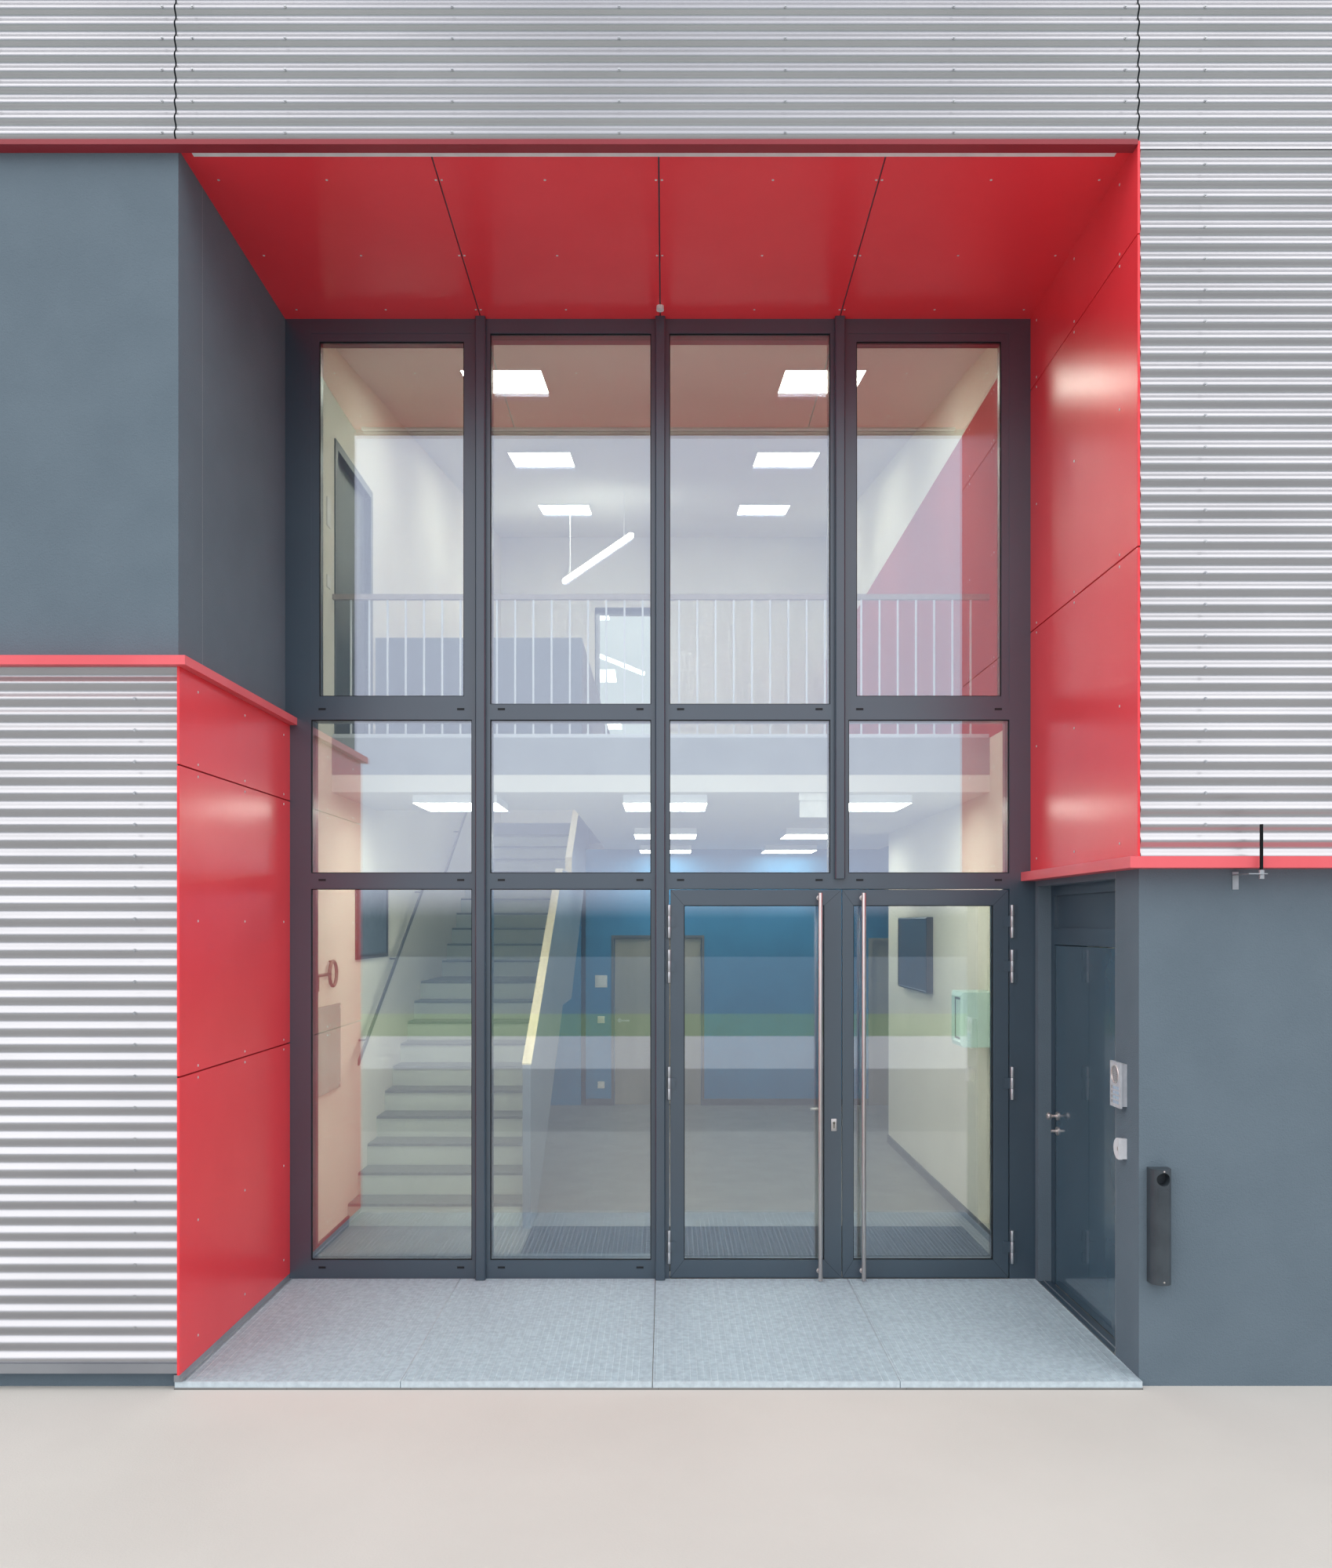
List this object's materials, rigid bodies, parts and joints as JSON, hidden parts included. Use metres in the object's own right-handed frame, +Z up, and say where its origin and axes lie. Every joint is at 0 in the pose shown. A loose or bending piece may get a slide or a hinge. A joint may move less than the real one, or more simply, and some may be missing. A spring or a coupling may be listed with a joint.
{
  "type": "fire station entrance building",
  "caption": "Two-storey fire station entrance building with a deep red porch, glazed front with double doors, corrugated cladding, and a foyer with stair and gallery.",
  "frame": {"origin": "on the ground, on the centre line of the porch, half way between the front and the back", "axes": "+X to the right seen from the front, +Y from the front to the back, +Z up"},
  "size_m": [10.105, 11.465, 8.44],
  "materials": {
    "floor_finish": "matt",
    "galvanised": "satin",
    "dark_render": "matt",
    "cream_plaster": "matt",
    "dark_mat": "matt",
    "blue_plaster": "matt",
    "grey_concrete": "matt",
    "white_ceiling": "matt",
    "roofing": "matt",
    "aluminium": "satin",
    "red_panel": "satin",
    "silver_sheet": "satin",
    "anthracite_frame": "satin",
    "clear_glass": "gloss",
    "stainless": "satin",
    "pale_stair": "matt",
    "dark_tread": "satin",
    "grey_balustrade": "satin",
    "light_white": "satin",
    "dark_door": "gloss",
    "beige_door": "satin",
    "device_silver": "satin",
    "device_white": "satin",
    "ashtray_dark": "satin"
  },
  "bodies": {
    "building": {"floor_slab": "floor_finish", "entrance_grating": "galvanised", "left_wall": "dark_render", "right_wall": "dark_render", "back_wall": "dark_render", "front_left_wall": "dark_render", "front_right_wall": "dark_render", "front_top_wall": "dark_render", "foyer_left_wall": "cream_plaster", "foyer_right_wall": "cream_plaster", "recess_right_wall": "dark_render", "rear_partition": "blue_plaster", "skirting": "dark_tread", "entrance_mat": "dark_mat", "corridor_door": "beige_door", "gallery_floor": "grey_concrete", "side_floors": "grey_concrete", "foyer_ceilings": "white_ceiling", "roof_slab": "roofing", "parapet_coping": "aluminium", "soffit_panels": "red_panel", "reveal_panels": "red_panel", "red_trims": "red_panel", "cladding_profiles": "aluminium", "cladding_front": "silver_sheet", "cladding_left": "silver_sheet", "cladding_right": "silver_sheet", "cladding_back": "silver_sheet", "facade_posts": "anthracite_frame", "facade_transoms": "anthracite_frame", "mullion_caps": "anthracite_frame", "casement_frames": "anthracite_frame", "facade_glass": "clear_glass", "hinge_barrels": "stainless", "side_door_frame": "anthracite_frame", "stair_flights": "pale_stair", "stair_treads": "dark_tread", "stair_balustrade": "grey_balustrade", "stair_handrails": "stainless", "gallery_railing": "grey_balustrade", "ceiling_lights": "light_white", "gallery_door": "dark_door", "window_frames": "anthracite_frame", "window_glass": "clear_glass", "intercom": "device_silver", "key_switch": "device_white", "ashtray": "ashtray_dark", "antenna": "stainless"},
    "left_door": {"left_door_leaf": "anthracite_frame", "left_door_glass": "clear_glass", "left_door_pull": "stainless"},
    "right_door": {"right_door_leaf": "anthracite_frame", "right_door_glass": "clear_glass", "right_door_pull": "stainless"},
    "side_door": {"side_door_leaf": "dark_door", "side_door_knob": "stainless"},
    "rear_door": {"rear_door_leaf": "beige_door", "rear_door_lever": "stainless"}
  },
  "joints": [
    {"name": "left_door_hinge", "type": "hinge", "parent": "building", "child": "left_door", "pos_m": [0.055, -3.992, 1.3], "axis": [0, 0, -1], "range_deg": [0, 90]},
    {"name": "right_door_hinge", "type": "hinge", "parent": "building", "child": "right_door", "pos_m": [2.197, -3.992, 1.3], "axis": [0, 0, 1], "range_deg": [0, 90]},
    {"name": "side_door_hinge", "type": "hinge", "parent": "building", "child": "side_door", "pos_m": [2.508, -5.228, 1.2], "axis": [0, 0, -1], "range_deg": [0, 90]},
    {"name": "rear_door_hinge", "type": "hinge", "parent": "building", "child": "rear_door", "pos_m": [0.46, 3.172, 1], "axis": [0, 0, -1], "range_deg": [0, 90]}
  ]
}
